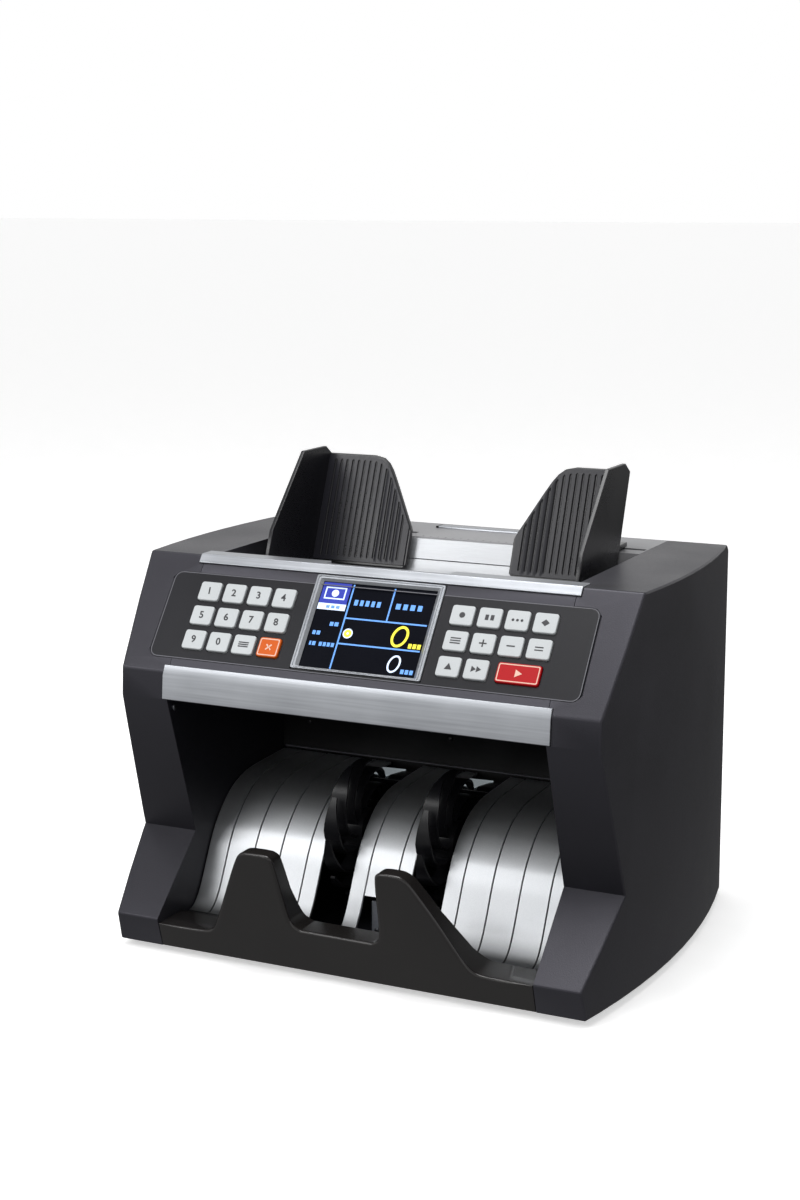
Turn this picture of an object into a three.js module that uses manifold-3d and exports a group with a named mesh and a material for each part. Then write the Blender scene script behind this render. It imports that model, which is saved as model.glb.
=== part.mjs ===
// Banknote counting machine: hopper on top, sloped control panel, open stacker pocket in front.
// Millimetres, +Z up, front towards -Y, left and right as seen from the front.
import * as THREE from 'three';
import { mergeVertices } from 'three/addons/utils/BufferGeometryUtils.js';
import Module from 'manifold-3d';

const wasm = await Module();
wasm.setup();

// ---------------------------------------------------------------- driving dimensions
const DEPTH_CENTRE = 109;        // distance from the bottom front edge to the middle of the depth
const GAP = 0.3;                 // clearance between neighbouring pieces
const WALL = 3;                  // moulded wall thickness
const FEET = 4;                  // height of the rubber feet
const TOP = 222.5;               // level of the top surface
const REAR = 240;                // rear face
const REAR_RADIUS = 20;          // rounding of the rear top edge
const POCKET_HALF = 115;         // half width between the front columns
const HOPPER_HALF = 111;         // half width between the top flanges
const FRONT_HALF = 143.1;        // half width at the bottom front edge
const BULGE = [0.2168, 0.000896]; // outward bow of the sides: slope and curvature along the depth
const REAR_PANEL_HALF = 125;     // half width of the rear cover

const FOOT_TOP = [-5.4, 21];     // side profile corners as [depth, height]
const KNEE = [38.2, 61.2];
const NOSE_BOTTOM = [8.7, 146.4];
const NOSE_TOP = [9.8, 162.5];
const PANEL_TOP = [54.6, TOP];

const LEAN = 0.39;               // hopper back leans this much in depth per unit of height
const BACK_AT_205 = 159.8;       // depth of the hopper back plate face at height 205
const FLOOR_CORNER = [158.3, 201.2]; // where the hopper floor meets its back

const WHEEL_AXIS = [79.3, 63.9]; // stacker wheel shaft
const WHEEL_RADIUS = 40.1;
const WHEEL_X = 28.8;            // middle of the gap between two chutes
const HUB_HALF = 7.8;            // half width of the wheel hub
const PICKUP_AXIS = [110, 166];  // pick-up roller shaft under the hopper floor
const PICKUP_RADIUS = 16.4;
const FEED_AXIS = [80, 149.5];   // feed roller shaft in front of it
const FEED_RADIUS = 13.5;
const ROLLER_X = [-62, 0, 62];

const KEY = { w: 13.4, h: 11.7, corner: 1.4, pitchX: 16.08, pitchS: 15.35 };
const KEY_START = { left: -104, right: 53.8, s: 23.35 };
const START_KEY = { w: 24.9, x: 94 };
const SCREEN = { half: 39.6, top: 6.2, bottom: 64.3, litHalf: 35.1, litTop: 9.7, litBottom: 62.3 };
const FILM = { half: 130.5, top: 11.7, bottom: 66.1, corner: 5 };
const NOTCH_HALF = 38.5;         // finger notch behind the control panel

// ---------------------------------------------------------------- small helpers
const V2 = (p) => new THREE.Vector2(p[0], p[1]);
const rad = THREE.MathUtils.degToRad;

function solid(geometry) {
  const g = geometry.clone();
  g.deleteAttribute('normal');
  g.deleteAttribute('uv');
  const m = mergeVertices(g, 1e-4);
  return new wasm.Manifold(new wasm.Mesh({
    numProp: 3,
    vertProperties: new Float32Array(m.attributes.position.array),
    triVerts: new Uint32Array(m.index.array),
  }));
}
const join = (...parts) => parts.reduce((a, b) => a.add(b));
const cut = (body, ...tools) => tools.reduce((a, b) => a.subtract(b), body);

function extruded(points, length, basis, at) {
  const g = new THREE.ExtrudeGeometry(new THREE.Shape(points.map(V2)), { depth: length, bevelEnabled: false });
  const m = new THREE.Matrix4().makeBasis(...basis.map((b) => new THREE.Vector3(...b)));
  g.applyMatrix4(m.setPosition(...at));
  return solid(g);
}
// side profile [depth, height] run across the width
const across = (pts, x0, x1) => extruded(pts, x1 - x0, [[0, 1, 0], [0, 0, 1], [1, 0, 0]], [x0, 0, 0]);
// plan outline [x, depth] run upwards
const upward = (pts, z0, z1) => extruded(pts, z1 - z0, [[1, 0, 0], [0, 1, 0], [0, 0, 1]], [0, 0, z0]);
// front outline [x, height] run through the depth
const through = (pts, y0, y1) => extruded(pts, y1 - y0, [[1, 0, 0], [0, 0, 1], [0, -1, 0]], [0, y1, 0]);
const box = (x0, x1, y0, y1, z0, z1) => upward([[x0, y0], [x1, y0], [x1, y1], [x0, y1]], z0, z1);

// control panel frame: s runs down the slope from the top front edge, n stands off the surface
const slopeLength = Math.hypot(PANEL_TOP[0] - NOSE_TOP[0], PANEL_TOP[1] - NOSE_TOP[1]);
const UP = [(PANEL_TOP[0] - NOSE_TOP[0]) / slopeLength, (PANEL_TOP[1] - NOSE_TOP[1]) / slopeLength];
const onPanel = (s, n = 0) => [PANEL_TOP[0] - UP[0] * s - UP[1] * n, PANEL_TOP[1] - UP[1] * s + UP[0] * n];
function panelPrism(pts, n0, n1) {
  const [y, z] = onPanel(0, n0);
  const basis = [[1, 0, 0], [0, UP[0], UP[1]], [0, -UP[1], UP[0]]];
  return extruded(pts.map(([x, s]) => [x, -s]), n1 - n0, basis, [0, y, z]);
}
const panelBox = (x0, x1, s0, s1, n0, n1) => panelPrism([[x0, s0], [x1, s0], [x1, s1], [x0, s1]], n0, n1);

function arc(cx, cy, r, a0, a1, steps) {
  return Array.from({ length: steps + 1 }, (_, i) => {
    const a = rad(a0 + ((a1 - a0) * i) / steps);
    return [cx + r * Math.cos(a), cy + r * Math.sin(a)];
  });
}
function rounded(x0, x1, y0, y1, r, steps = 3) {
  return [...arc(x1 - r, y0 + r, r, -90, 0, steps), ...arc(x1 - r, y1 - r, r, 0, 90, steps),
    ...arc(x0 + r, y1 - r, r, 90, 180, steps), ...arc(x0 + r, y0 + r, r, 180, 270, steps)];
}
// parallel copy of an open line, offset to its right-hand side
function beside(line, d) {
  return line.map((p, i) => {
    const a = line[Math.max(i - 1, 0)];
    const b = line[Math.min(i + 1, line.length - 1)];
    const u = V2(b).sub(V2(a)).normalize();
    return [p[0] + u.y * d, p[1] - u.x * d];
  });
}
// open line with every corner eased by a curve between the middles of its two sides
function eased(points, steps = 3) {
  const out = [points[0]];
  for (let i = 1; i < points.length - 1; i++) {
    const [a, b, c] = [points[i - 1], points[i], points[i + 1]].map(V2);
    const curve = new THREE.QuadraticBezierCurve(a.lerp(b, 0.5), b, c.lerp(b, 0.5));
    out.push(...curve.getPoints(steps).map((p) => [p.x, p.y]));
  }
  return [...out, points[points.length - 1]];
}
const sheet = (line, t, x0, x1) => across([...line, ...beside(line, t).reverse()].reverse(), x0, x1);

function turned(profile, [y, z], segments = 20) {
  // profile [radius, x] closes on the axis; the axis runs across the width
  const g = new THREE.LatheGeometry(profile.map(V2), segments);
  g.applyMatrix4(new THREE.Matrix4().makeRotationZ(-Math.PI / 2).setPosition(0, y, z));
  return solid(g);
}

// ---------------------------------------------------------------- materials and collection
const FINISH = {
  charcoal: [0x2c2c2f, 0.62, 0], charcoalTop: [0x3a3a3d, 0.5, 0], black: [0x131315, 0.35, 0],
  gloss: [0x1a1a1c, 0.28, 0], film: [0x1b1b1e, 0.4, 0], silver: [0xb9bcc0, 0.35, 0.8],
  plate: [0xd5d7da, 0.3, 0.9], key: [0xd6d7d9, 0.5, 0], orange: [0xe8692a, 0.5, 0],
  red: [0xd42030, 0.45, 0], screen: [0x0b0e16, 0.15, 0], clear: [0xcfd8dc, 0.1, 0],
  rubber: [0x1d1d1d, 0.9, 0], steel: [0x9a9da1, 0.35, 0.9], board: [0x1e5a34, 0.6, 0],
};
const product = new THREE.Group();
product.name = 'banknote_counter';
function place(name, body, finish) {
  const out = body.getMesh();
  const g = new THREE.BufferGeometry();
  const count = out.vertProperties.length / out.numProp;
  const pos = new Float32Array(count * 3);
  for (let i = 0; i < count; i++) {
    pos.set(out.vertProperties.subarray(out.numProp * i, out.numProp * i + 3), 3 * i);
  }
  g.setAttribute('position', new THREE.BufferAttribute(pos, 3));
  g.setIndex(new THREE.BufferAttribute(new Uint32Array(out.triVerts), 1));
  g.translate(0, -DEPTH_CENTRE, 0);
  g.computeVertexNormals();
  const [color, roughness, metalness] = FINISH[finish];
  const mesh = new THREE.Mesh(g, new THREE.MeshStandardMaterial({ color, roughness, metalness }));
  mesh.name = name;
  product.add(mesh);
}
const mirror = (body) => body.mirror([1, 0, 0]);
function placePair(name, rightBody, finish) {
  place(`${name}_right`, rightBody, finish);
  place(`${name}_left`, mirror(rightBody), finish);
}

// ---------------------------------------------------------------- outer shape
const sideX = (y) => FRONT_HALF + BULGE[0] * y - BULGE[1] * y * y;
const PROFILE = [[0, FEET], FOOT_TOP, KNEE, NOSE_BOTTOM, NOSE_TOP, PANEL_TOP,
  ...arc(REAR - REAR_RADIUS, TOP - REAR_RADIUS, REAR_RADIUS, 90, 0, 5), [REAR, FEET]].reverse();

function planOutline(inset) {
  const curve = [];
  for (let i = 0; i <= 12; i++) {
    const y = -30 + i * 21.8333;
    curve.push([sideX(y) - inset, y]);
  }
  const corner = sideX(232) - inset;
  return [[90, -30], ...curve, [corner - 2.2, 237.5 - inset], [corner - 7, REAR - inset], [90, REAR - inset]];
}
function insetProfile(d) {
  const n = PROFILE.length;
  return PROFILE.map((p, i) => {
    const before = PROFILE[(i + n - 1) % n];
    const after = PROFILE[(i + 1) % n];
    const u = V2(p).sub(V2(before)).normalize();
    const v = V2(after).sub(V2(p)).normalize();
    const k = d / (1 + u.dot(v));
    return [p[0] - (u.y + v.y) * k, p[1] + (u.x + v.x) * k];
  });
}

function upperTrimSolid(grow) {
  const g = grow;
  const line = [onPanel(5.5 + g, -1.6 - g), onPanel(5.5 + g, 1), onPanel(-0.2, 1), [56.2, TOP + 0.8],
    [64.6 + g, TOP + 0.8], [64.6 + g, TOP - 1.6 - g], [56, TOP - 1.6 - g]];
  return across(line.reverse(), -117.6 - g, 117.6 + g);
}
function lowerTrimSolid(grow) {
  const g = grow;
  const line = [[NOSE_BOTTOM[0] - 1.3, 146.9 - g], [NOSE_TOP[0] - 1.3, 160.6], onPanel(71.2 - g, 1.2),
    onPanel(71.2 - g, -1.5 - g), [NOSE_TOP[0] + 2 + g, 159.5], [NOSE_BOTTOM[0] + 2 + g, 146.9 - g]];
  return across(line.reverse(), -117.4 - g, 117.4 + g);
}
function filmOutline(grow) {
  return rounded(-FILM.half - grow, FILM.half + grow, FILM.top - grow, FILM.bottom + grow, FILM.corner);
}
const filmPocket = () => panelPrism(filmOutline(0.25), -1.1, 3);

function sideCover() {
  const outside = across(PROFILE, HOPPER_HALF, 170).intersect(upward(planOutline(0), 0, 240));
  const inside = across(insetProfile(WALL), POCKET_HALF + WALL, 170)
    .intersect(upward(planOutline(WALL), -10, 240));
  const machineWindow = box(POCKET_HALF - 1, POCKET_HALF + WALL + 1, 150, 230, 12, 192);
  const rearPanelSeat = box(100, REAR_PANEL_HALF, REAR - WALL - GAP, 250, 0, 202.3);
  return cut(outside, inside, machineWindow, rearPanelSeat,
    box(100, POCKET_HALF, -40, 250, 0, 206), box(100, POCKET_HALF, -40, 65, 140, 240),
    upperTrimSolid(GAP), lowerTrimSolid(GAP), filmPocket());
}

// ---------------------------------------------------------------- control head
const screenSeat = (n0, n1) => panelBox(-SCREEN.half - GAP, SCREEN.half + GAP, SCREEN.top - GAP,
  SCREEN.bottom + GAP, n0, n1);

function headHousing() {
  const half = POCKET_HALF - GAP;
  const section = [NOSE_BOTTOM, NOSE_TOP, PANEL_TOP, [64.6, TOP], [64.6, 150], [24, 150], [20, 146.4]];
  const body = across(section.reverse(), -half, half);
  const inner = [onPanel(12, -3.2), onPanel(70, -3.2), [15, 158], [15, 153.2], [61.6, 153.2], [61.6, 196],
    [52, 202]];
  const hollow = across(inner, -half + 3.2, half - 3.2);
  const keyWindows = [panelBox(-111.4, -47.5, 15.8, 61.8, -6, 1), panelBox(45.5, 110, 15.8, 61.8, -6, 1)];
  const screenWindow = panelBox(-38.6, 38.6, 7.2, 63.3, -6, 1);
  const fingerNotch = box(-NOTCH_HALF, NOTCH_HALF, 57, 70, 204, 230);
  return cut(body, hollow, ...keyWindows, screenWindow, screenSeat(-0.9, 2), fingerNotch,
    upperTrimSolid(GAP), lowerTrimSolid(GAP), filmPocket());
}

const KEY_COLUMNS = 4;
function keyGrid(firstX, count) {
  return Array.from({ length: count }, (_, i) => ({
    x: firstX + (i % KEY_COLUMNS) * KEY.pitchX,
    s: KEY_START.s + Math.floor(i / KEY_COLUMNS) * KEY.pitchS,
    w: KEY.w,
  }));
}
const leftKeys = keyGrid(KEY_START.left, 12);
const rightKeys = keyGrid(KEY_START.right, 10);
const startKey = { x: START_KEY.x, s: KEY_START.s + 2 * KEY.pitchS, w: START_KEY.w };

function keyOutline(k, grow) {
  const halfW = k.w / 2 + grow;
  const halfH = KEY.h / 2 + grow;
  return rounded(k.x - halfW, k.x + halfW, k.s - halfH, k.s + halfH, KEY.corner + grow / 2, 2);
}
const keyCap = (k) => panelPrism(keyOutline(k, 0), -3.4, 1.5);

function keypadFilm() {
  const holes = [...leftKeys, ...rightKeys, startKey].map((k) => panelPrism(keyOutline(k, 0.35), -3, 3));
  const plate = panelPrism(filmOutline(0), -0.8, 0.1);
  return cut(plate, screenSeat(-3, 3), ...holes);
}
function screenBezel() {
  const plate = panelPrism(rounded(-SCREEN.half, SCREEN.half, SCREEN.top, SCREEN.bottom, 1.2), -0.6, 0.9);
  return cut(plate, panelBox(-SCREEN.litHalf, SCREEN.litHalf, SCREEN.litTop, SCREEN.litBottom, -2, 2));
}
const screenModule = () => panelBox(-38.2, 38.2, 7.6, 62.9, -4.6, -0.9);

function upperTrim() {
  return cut(upperTrimSolid(0), box(-NOTCH_HALF, NOTCH_HALF, 57, 70, 210, 240));
}

// ---------------------------------------------------------------- hopper
const backFace = (z, offset = 0) => [BACK_AT_205 + offset + LEAN * (z - 205), z];
const floorFace = (y, lift = 0) => [y, FLOOR_CORNER[1] + LEAN * (y - FLOOR_CORNER[0]) + lift];

function hopperBackPlate() {
  return sheet([backFace(210), backFace(TOP - 0.6)], 1.5, -88, 88);
}
function hopperFeedPlate() {
  const line = [floorFace(70), floorFace(FLOOR_CORNER[0] - 5), floorFace(FLOOR_CORNER[0] - 1.6, 0.4),
    backFace(204.5), backFace(209.6)];
  const slots = ROLLER_X.map((x) => box(x - 13, x + 13, PICKUP_AXIS[0] - 19, PICKUP_AXIS[0] + 7, 160, 200));
  return cut(sheet(line, 1.5, -HOPPER_HALF + 0.4, HOPPER_HALF - 0.4), ...slots);
}
function topCover() {
  const half = HOPPER_HALF - GAP;
  const r = REAR_RADIUS;
  const outer = [backFace(200, 0.2), backFace(TOP, 0.2), ...arc(REAR - r, TOP - r, r, 90, 0, 5)];
  const inner = [...arc(REAR - r, TOP - r, r - WALL, 0, 90, 5), [backFace(TOP)[0] + 4.4, TOP - WALL],
    backFace(200, 3.6)];
  const body = across([...outer, ...inner].reverse(), -half, half);
  const recess = (top, x) => across([backFace(199, -3), backFace(199, 1.9), backFace(top, 1.9),
    backFace(top, -3)], -x, x);
  const seat = recess(TOP + 1, 88.3);
  const lower = recess(209.8, half + 1);
  const slot = box(38.5, half - 1.2, 179, 184, 200, 230);
  const grip = box(-36.4, 36.4, 203.4, 211.6, TOP - 1.2, TOP + 2);
  return cut(body, seat, lower, slot, mirror(slot), grip);
}
const gripBar = () => across(rounded(203.8, 211.2, TOP - 0.9, TOP + 1.1, 0.9, 2), -36, 36);

function noteGuide() {
  const face = (z, t = 0) => [153 + t + LEAN * (z - 205), z];
  // ribbed back, outline in [x, height]
  const back = through([[98, 204.8], [98, 269.4], [66.5, 269.4], [60, 268], [56, 265], [53, 261.2], [49, 254.5],
    [34.6, 228.5], [33.8, 226.5], [33.8, 207], [35.8, 204.8]], 140, 200)
    .intersect(across([face(203), face(203, 3.2), face(272, 3.2), face(272)], 30, 99));
  const wall = across([[143, 274.5], [172, 274.5], [180.6, 268.8], face(228.7, 3.2), face(206, 3.2),
    floorFace(150, 1.8), floorFace(90, 1.8), [88.5, 190], [96.5, 217], [102.2, 231.5]], 97, 99.5);
  const arm = box(77, 97.5, 162, 183, 223.4, 226.2);
  const tongue = box(77, 96.5, 180, 183, 213, 225);
  const frontOfBack = across([face(220, -20), face(220, 1), face(230, 1), face(230, -20)], 70, 99);
  return join(back, wall, cut(arm, frontOfBack), tongue);
}

// ---------------------------------------------------------------- stacker pocket
const CHUTE = [[28.5, 16.1], [32, 16.9], [36.5, 20], [40.5, 25], [43.5, 30], [48.7, 40], [53.8, 50], [57.5, 56],
  [60.3, 60], [64.8, 65], [70, 70], [75, 74], [81.5, 78], [89.5, 81], [98, 83], [108, 84], [126, 84.6],
  [145.6, 85]];
const chute = (x0, x1) => sheet(CHUTE, 1.5, x0, x1);

function frontPlate() {
  const half = POCKET_HALF - 0.4;
  const section = [[0, FEET], [-22, 73.2], [-21, 74.6], [-19.4, 75], [-14, 75], [-12, 74], [-10.8, 71.5],
    [-3.5, 52], [9.5, 30], [17.5, 20.5], [24.5, 15.5], [26, 12], [26, FEET]];
  // front outlines of the two halves, from the side over the fin to the middle
  const side = half + 1;
  const rightHalf = [[side, 0], [side, 20.5], [86, 20.5], [80, 22.6], [75.3, 28], [62.7, 51.5], [52, 68.5],
    [49.2, 72.4], [46, 74.4], [42.5, 75], [34.5, 75], [31.2, 74], [29.4, 71], [27.6, 36], [25.6, 31.5], [21.5, 29.6]];
  const leftHalf = [[side, 0], [side, 18.5], [84, 18.8], [79.5, 20.5], [75.8, 25.5], [61.5, 56.6], [55.3, 69.2],
    [52.6, 73.2], [49, 75], [36, 75], [32.8, 74], [31.2, 71], [28.2, 38], [26, 32.6], [21.5, 30]];
  const outline = [...eased(rightHalf), ...eased(leftHalf.map(([x, z]) => [-x, z]).reverse())];
  return across(section.reverse(), -half, half).intersect(through(outline, -40, 40));
}
function pocketLiner() {
  const line = [[25, 147.4], [62, 136], [100, 126.5], [146.2, 118], [146.2, 86.4]];
  return sheet(line.slice().reverse(), 2, -POCKET_HALF + 0.4, POCKET_HALF - 0.4);
}
const centreChute = () => cut(chute(-18.3, 18.3), box(-8.9, 20, 20, 50, 0, 35));
function sensorWindow() {
  return across([[117, 80], [135, 80], [135, 83.6], [131, 84.4], [121, 84.4], [117, 82.8]], 19, 38.6);
}
function sensorBracket() {
  const upright = box(-6, 15.5, 50, 51.5, 8, 31);
  const footing = box(-6, 15.5, 42, 50.5, 8, 9.5);
  const sensor = box(1, 8, 45.5, 50.5, 20, 26);
  return join(upright, footing, sensor);
}

// spiral blades around a hub, each tapering to a narrow tip; centred on x
const BLADES = { count: 10, firstTip: 140.3, sweep: 12.3, power: 0.6, root: 9, thickness: 1.5 };
const BLADE_HALF = { tip: 1.35, root: 4.85, taperTurn: 14 }; // full width twice taperTurn degrees behind the tip
function stackerWheel(x) {
  const { tip, root, taperTurn } = BLADE_HALF;
  const cylinder = (radius, half) => turned([[0, -half], [radius, -half], [radius, half], [0, half]], [0, 0]);
  const radii = [BLADES.root, 14, 20, 26, 31, 34, ...[4.1, 2.8, 1.6, 0.6, 0].map((d) => WHEEL_RADIUS - d)];
  const line = radii.map((r) => {
    const a = rad(90 - taperTurn + BLADES.sweep * (WHEEL_RADIUS - r) ** BLADES.power);
    return [r * Math.cos(a), r * Math.sin(a)];
  });
  const reach = WHEEL_RADIUS * Math.sin(rad(taperTurn));
  const plan = [[-tip, reach], [-root, -reach], [-root, -WHEEL_RADIUS], [root, -WHEEL_RADIUS], [root, -reach],
    [tip, reach]];
  const blade = sheet(line, BLADES.thickness, -root, root)
    .intersect(upward(plan, -WHEEL_RADIUS, WHEEL_RADIUS + 1));
  let wheel = join(cylinder(BLADES.root + 1, root), cylinder(BLADES.root + 2.5, HUB_HALF));
  for (let i = 0; i < BLADES.count; i++) {
    wheel = wheel.add(blade.rotate([BLADES.firstTip - 90 + taperTurn + (i * 360) / BLADES.count, 0, 0]));
  }
  return cut(wheel, cylinder(3.3, HUB_HALF + 1)).translate([x, ...WHEEL_AXIS]);
}
const stackerShaft = () => turned([[0, -114.4], [3, -114.4], [3, 114.4], [0, 114.4]], WHEEL_AXIS, 16);
function rollerShaft(axis, radius, width) {
  const p = [[0, -114.4], [3, -114.4]];
  for (const x of ROLLER_X) {
    const [left, right] = [x - width / 2, x + width / 2];
    p.push([3, left], [radius, left], [radius, right], [3, right]);
  }
  p.push([3, 114.4], [0, 114.4]);
  return turned(p, axis, 28);
}

// ---------------------------------------------------------------- chassis and rear
function baseTray() {
  const half = POCKET_HALF - 0.4;
  const vents = [-60, -40, -20, 0, 20, 40, 60].map((x) => box(x - 3, x + 3, 150, 190, 0, 10));
  return cut(box(-half, half, 26.4, REAR - WALL - 0.4, FEET, FEET + WALL), ...vents);
}

const INLET = { x: -96, z: 34 };
const SWITCH = { x: -62, z: 34 };
const VENTS = { count: 8, firstZ: 40, pitch: 9, height: 3.5 };
function rearCover() {
  const panel = box(-REAR_PANEL_HALF + GAP, REAR_PANEL_HALF - GAP, REAR - WALL, REAR, FEET, 202);
  const vents = Array.from({ length: VENTS.count }, (_, i) => {
    const z = VENTS.firstZ + i * VENTS.pitch;
    return box(20, 90, 230, 245, z, z + VENTS.height);
  });
  return cut(panel, ...vents,
    box(INLET.x - 14.3, INLET.x + 14.3, 230, 245, INLET.z - 10.8, INLET.z + 10.8),
    box(SWITCH.x - 10.4, SWITCH.x + 10.4, 230, 245, SWITCH.z - 7, SWITCH.z + 7));
}
function powerInlet() {
  const { x, z } = INLET;
  const socket = [[x - 11, z - 7.5], [x + 11, z - 7.5], [x + 11, z + 3.5], [x + 6.5, z + 7.5], [x - 6.5, z + 7.5],
    [x - 11, z + 3.5]];
  const body = cut(box(x - 14, x + 14, 214, REAR - 0.2, z - 10.5, z + 10.5), through(socket, 221, 250));
  const pin = (px, pz) => box(px - 1, px + 1, 218, REAR - 6, pz - 2.2, pz + 2.2);
  return join(body, pin(x - 6, z - 1), pin(x, z + 2.2), pin(x + 6, z - 1));
}
function rocker() {
  const { x, z } = SWITCH;
  const plan = [[x - 4, 229], [x + 4, 229], [x + 9.8, 235.6], [x, 237.8], [x - 9.8, 239.8]];
  return upward(plan, z - 6.5, z + 6.5);
}
function mainMotor() {
  const axis = [196, 32];
  const profile = [[0, -78], [20, -78], [20, -24], [7, -24], [7, -20], [2.5, -20], [2.5, -8], [0, -8]];
  const can = turned(profile, axis, 24);
  const bracket = box(-74, -30, 180, 212, 7.4, 18);
  return join(can, bracket);
}
function controlBoard() {
  const board = box(8, 106, 224, 225.6, 50, 130);
  const transformer = box(20, 44, 216, 225, 92, 116);
  const heatSink = box(60, 84, 219, 225, 60, 78);
  const connector = box(60, 96, 217, 225, 112, 122);
  return join(board, transformer, heatSink, connector);
}
function rubberFoot(x, y) {
  const g = new THREE.CylinderGeometry(9, 8, FEET - 0.2, 20);
  g.rotateX(Math.PI / 2);
  g.translate(x, y, (FEET - 0.2) / 2);
  return solid(g);
}

// ---------------------------------------------------------------- assembly
placePair('side_cover', sideCover(), 'charcoal');
place('head_housing', headHousing(), 'charcoal');
place('keypad_film', keypadFilm(), 'film');
place('screen_bezel', screenBezel(), 'silver');
place('screen_module', screenModule(), 'screen');
place('upper_trim', upperTrim(), 'silver');
place('lower_trim', lowerTrimSolid(0), 'silver');
leftKeys.forEach((k, i) => place(`key_left_${i + 1}`, keyCap(k), i === 11 ? 'orange' : 'key'));
rightKeys.forEach((k, i) => place(`key_right_${i + 1}`, keyCap(k), 'key'));
place('key_start', keyCap(startKey), 'red');

place('top_cover', topCover(), 'charcoalTop');
place('grip_bar', gripBar(), 'plate');
place('hopper_back_plate', hopperBackPlate(), 'plate');
place('hopper_feed_plate', hopperFeedPlate(), 'plate');
placePair('note_guide', noteGuide(), 'black');

place('stacker_front_plate', frontPlate(), 'gloss');
placePair('stacker_chute', chute(39.3, POCKET_HALF - 0.4), 'plate');
place('stacker_chute_centre', centreChute(), 'plate');
place('pocket_liner', pocketLiner(), 'black');
placePair('sensor_window', sensorWindow(), 'clear');
place('sensor_bracket', sensorBracket(), 'steel');
place('stacker_wheel_right', stackerWheel(WHEEL_X), 'black');
place('stacker_wheel_left', stackerWheel(-WHEEL_X), 'black');
place('stacker_shaft', stackerShaft(), 'steel');
place('pickup_roller', rollerShaft(PICKUP_AXIS, PICKUP_RADIUS, 20), 'rubber');
place('feed_roller', rollerShaft(FEED_AXIS, FEED_RADIUS, 24), 'rubber');

place('base_tray', baseTray(), 'charcoal');
place('rear_cover', rearCover(), 'charcoal');
place('power_inlet', powerInlet(), 'black');
place('rocker_switch', rocker(), 'red');
place('main_motor', mainMotor(), 'steel');
place('control_board', controlBoard(), 'board');
for (const [side, x] of [['left', -95], ['right', 95]]) {
  place(`foot_front_${side}`, rubberFoot(x, 40), 'rubber');
  place(`foot_rear_${side}`, rubberFoot(x, 215), 'rubber');
}

export default product;
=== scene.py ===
"""Looks of a banknote counting machine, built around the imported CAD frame."""
import math

import bmesh
import bpy
from mathutils import Matrix, Vector


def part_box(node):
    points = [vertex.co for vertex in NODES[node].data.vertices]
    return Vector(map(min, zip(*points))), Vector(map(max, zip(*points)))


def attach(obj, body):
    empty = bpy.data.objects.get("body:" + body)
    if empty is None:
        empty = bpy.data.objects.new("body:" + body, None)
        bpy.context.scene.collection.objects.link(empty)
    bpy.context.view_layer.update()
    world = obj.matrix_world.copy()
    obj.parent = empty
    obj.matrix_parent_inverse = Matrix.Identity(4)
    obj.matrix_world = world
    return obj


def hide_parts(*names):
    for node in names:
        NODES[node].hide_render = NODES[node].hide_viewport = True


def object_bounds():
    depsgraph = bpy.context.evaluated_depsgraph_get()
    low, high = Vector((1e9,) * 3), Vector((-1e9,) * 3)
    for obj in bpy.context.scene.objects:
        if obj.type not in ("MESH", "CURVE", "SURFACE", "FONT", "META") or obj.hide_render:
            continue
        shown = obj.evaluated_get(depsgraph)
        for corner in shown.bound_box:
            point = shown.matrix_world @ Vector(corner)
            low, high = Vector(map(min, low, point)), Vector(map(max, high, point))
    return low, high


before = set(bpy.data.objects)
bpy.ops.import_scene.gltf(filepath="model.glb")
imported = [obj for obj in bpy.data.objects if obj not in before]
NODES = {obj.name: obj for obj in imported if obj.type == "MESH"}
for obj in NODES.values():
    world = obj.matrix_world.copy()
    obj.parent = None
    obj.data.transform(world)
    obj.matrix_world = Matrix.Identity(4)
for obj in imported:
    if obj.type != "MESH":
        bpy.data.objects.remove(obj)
cad_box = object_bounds()
SCENE = bpy.context.scene

# ---------------------------------------------------------------- shared dimensions, millimetres
# Drawing coordinates, as in part.mjs: x to the right, y depth from the bottom front edge, z up. In the side
# view a point is (y, z). On the control panel s is the way down the slope from the panel's top edge.
DEPTH_CENTRE = 109.0
TO_ROW = Matrix.Translation((0, -DEPTH_CENTRE / 1000, 0)) @ Matrix.Scale(0.001, 4)
TO_DRAWING = TO_ROW.inverted()
NOSE_TOP = Vector((9.8, 162.5))
PANEL_TOP = Vector((54.6, 222.5))
UP = (PANEL_TOP - NOSE_TOP).normalized()
GUIDE_LEAN = 0.39
POCKET_HALF = 115.0
TOP = 222.5
# placement on the control panel: x right, y up the slope from the top edge, z off the surface
PANEL = Matrix(((1, 0, 0, 0), (0, UP.x, -UP.y, PANEL_TOP.x), (0, UP.y, UP.x, PANEL_TOP.y), (0, 0, 0, 1)))
KEY_LEFT_X, KEY_RIGHT_X, KEY_PITCH_X = -104.0, 53.8, 16.08
KEY_FIRST_S, KEY_PITCH_S = 23.35, 15.35
KEY_W, KEY_H, KEY_TOP = 13.4, 11.7, 1.5
START_X, START_W = 94.0, 24.9
SUNK = 0.2  # how far a print or an added detail reaches into the face it stands on
# side view of the curved chutes, from the foot to the back
CHUTE = [(28.5, 16.1), (32, 16.9), (36.5, 20), (40.5, 25), (43.5, 30), (48.7, 40), (53.8, 50), (57.5, 56),
         (60.3, 60), (64.8, 65), (70, 70), (75, 74), (81.5, 78), (89.5, 81), (98, 83), (108, 84), (126, 84.6),
         (145.6, 85)]


def box_mm(node_name):
    """A node's lowest and highest corner in the drawing."""
    lo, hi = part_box(node_name)
    return TO_DRAWING @ lo, TO_DRAWING @ hi


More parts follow.
